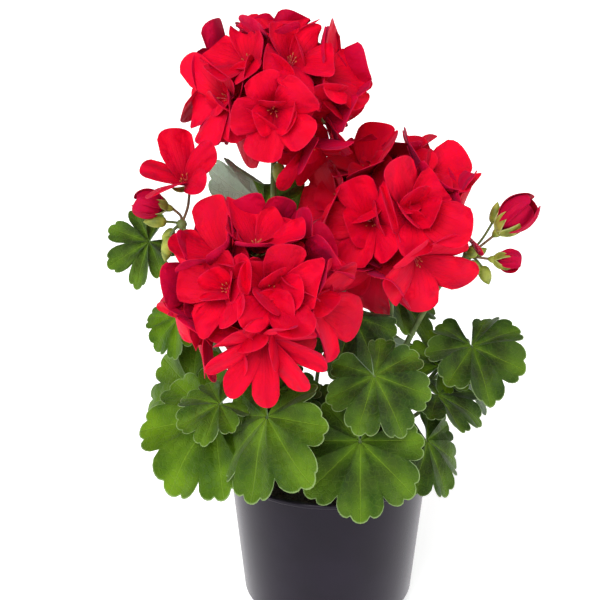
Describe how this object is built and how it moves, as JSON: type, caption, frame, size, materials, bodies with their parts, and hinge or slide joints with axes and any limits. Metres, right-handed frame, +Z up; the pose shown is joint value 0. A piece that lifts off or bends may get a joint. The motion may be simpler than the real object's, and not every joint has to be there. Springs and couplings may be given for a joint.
{
  "type": "potted geranium",
  "caption": "Leafy red geranium with full round flower heads, buds and scalloped leaves, growing from soil in a round tapered dark plastic nursery pot.",
  "frame": {"origin": "centre of the pot's flat underside, which stands on z = 0", "axes": "+Z up the plant along the axis of the pot, -Y towards the front of the plant, +X to the right seen from the front"},
  "size_m": [0.2496, 0.2142, 0.365],
  "materials": {
    "pot_plastic": "satin",
    "soil": "matte",
    "leaf_green": "satin",
    "petal_red": "satin"
  },
  "bodies": {
    "root": {"pot": "pot_plastic", "soil": "soil", "leafy_stem_front": "leaf_green", "leafy_stem_left": "leaf_green", "leafy_stem_right": "leaf_green", "leafy_stem_back": "leaf_green", "petals_head_top": "petal_red", "petals_head_left": "petal_red", "petals_head_right": "petal_red", "petals_floret_left": "petal_red", "petals_bud_left": "petal_red", "petals_bud_right": "petal_red", "petals_bud_right_small": "petal_red"}
  },
  "joints": []
}
